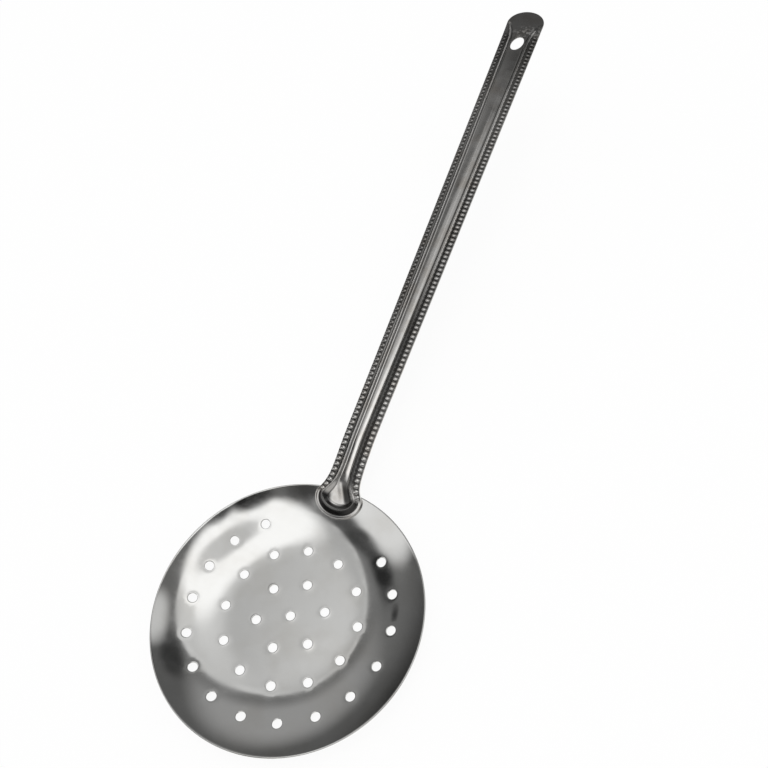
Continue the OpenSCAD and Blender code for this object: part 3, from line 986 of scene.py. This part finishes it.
# %% [markdown]
# The beads are pressed out of the strip, so they belong to the handle: their meshes are joined into its
# own. The joined piece then stands for the handle's solid, and the fine dish for the dish's.

# %% Join the beads and set the pieces on the frame
def join_meshes(piece, meshes):
    bm = bmesh.new()
    bm.from_mesh(piece.data)
    for mesh in meshes:
        bm.from_mesh(mesh)
    for face in bm.faces:
        face.smooth = True
        face.material_index = 0
    bm.to_mesh(piece.data)
    bm.free()
    piece.data.materials.clear()
    piece.data.materials.append(handle_steel)


def smooth(value, low, high):
    share = np.clip((value - low) / (high - low), 0.0, 1.0)
    return share * share * (3 - 2 * share)


def mark_painted_light(mesh):
    """Painted shade between the beads, in the groove, the foot's ring and the pad, and painted highlights, as shares
    per point.
    """
    at = np.array([v.co[:] for v in mesh.vertices]) / MM
    x, y, z = at.T
    height = z - base_z(x, y)
    places = np.linspace(foot_y, end_y, 400)
    wide = np.array([half_widths(v)[0] for v in places])
    gap = np.interp(y, places, wide[:, 0]) - np.abs(x)
    # Painted shade on the flange between the beads and in the groove, lighter on the beads themselves.
    greyer = 0.3 * (x < 0) * smooth(y, 100, 140)
    on_bead = smooth(height, -0.1, 0.3)
    flange = (smooth(gap, 0.15, 0.45) * (1 - smooth(gap, 3.9, 4.4)) * (0.95 - greyer - (0.85 - 2 * greyer) * on_bead)
              * (1 - 0.5 * smooth(y, 200, 330)) * smooth(y, foot_y, foot_y + 2)
              * (1 - smooth(y, bead_end_y, bead_end_y + 3)))
    # Painted shade: a dark band over the right-hand groove and crest flank near the neck.
    right_band_shade = (0.9 * (x > 0) * smooth(gap, 3.2, 3.6) * (1 - smooth(gap, 5.3, 5.9)) * smooth(y, foot_y, foot_y + 8)
            * (1 - smooth(y, 140, 200)))
    # Painted shade over the foot's ring, a little lighter on its top.
    inside = (1 - np.hypot(x / (foot_w / 2), (y - foot_y) / foot_round)) * foot_round
    ring = (smooth(inside, 1.0, 1.5) * (1 - smooth(inside, 5.0, 6.2)) * (0.95 - 0.12 * smooth(height, 0.9, 1.2))
            * (1 - smooth(y, foot_y, foot_y + 2)))
    # Painted shade on the pad right of a slanted line, which leaves a lit wedge on its left.
    wedge = 6.9 - 0.5 * (y - foot_tip_y)
    pad = (0.97 * smooth(x - wedge, -0.6, 0.8) * smooth(gap, 5.0, 5.6) * smooth(y, foot_tip_y + 5, foot_y)
           * (1 - smooth(y, foot_y + 4, foot_y + 12)))
    # Painted highlight along the tip of the lit wedge, running on into the panel.
    tip = (0.8 * (1 - smooth(np.abs(x - wedge + 1.6), 0.4, 1.3)) * smooth(gap, 4.8, 5.4)
           * smooth(y, foot_y - 2, foot_y + 3) * (1 - smooth(y, foot_y + 10, foot_y + 16)))
    from_crest = np.abs(np.abs(x) - np.interp(y, places, wide[:, 3:5].mean(axis=1)))
    # Painted highlight along the crests; on the right only along the middle of the handle.
    crest = (1 - smooth(from_crest, 0.3, 0.65)) * np.where(x > 0, 0.6 * smooth(y, 140, 200) * (1 - smooth(y, 285, 300)), 0.9)
    # Painted highlight: a narrow bright line on the panel just right of the middle.
    panel_highlight_line = 0.7 * (1 - smooth(np.abs(x - 1.2), 0.1, 0.5)) * smooth(y, 90, 130) * (1 - smooth(y, 240, 300))
    # Painted highlights on the right-hand beads near the neck.
    bright = 0.4 * (x > 0) * smooth(height, 0.05, 0.35) * (gap < 3.4) * (1 - smooth(y, 220, 300)) * (y > foot_y)
    painted_highlight = np.maximum(np.maximum(crest, panel_highlight_line) * smooth(y, foot_y, foot_y + 6) * (y < end_y), tip)
    painted_highlight = np.maximum(painted_highlight, bright)
    for name, shares in (("painted_shade", np.maximum.reduce([flange, right_band_shade, ring, pad])), ("painted_highlight", painted_highlight)):
        stored = mesh.attributes.new(name, "FLOAT", "POINT")
        stored.data.foreach_set("value", np.where(height > -0.8, shares, 0.0).astype(np.float32))


join_meshes(skimmer_handle, bead_rows)
# The handle gets its painted shade and painted highlights as shares per point.
mark_painted_light(skimmer_handle.data)
skimmer_dish.data.materials.clear()
skimmer_dish.data.materials.append(dish_steel)
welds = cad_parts["spot_welds"]
welds.data.materials.clear()
welds.data.materials.append(weld_steel)

for piece, node, finish in ((skimmer_dish, "dish", "dish_steel"), (skimmer_handle, "handle", "handle_steel")):
    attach(piece, "root")
    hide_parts(node)
print("handle faces", len(skimmer_handle.data.polygons))
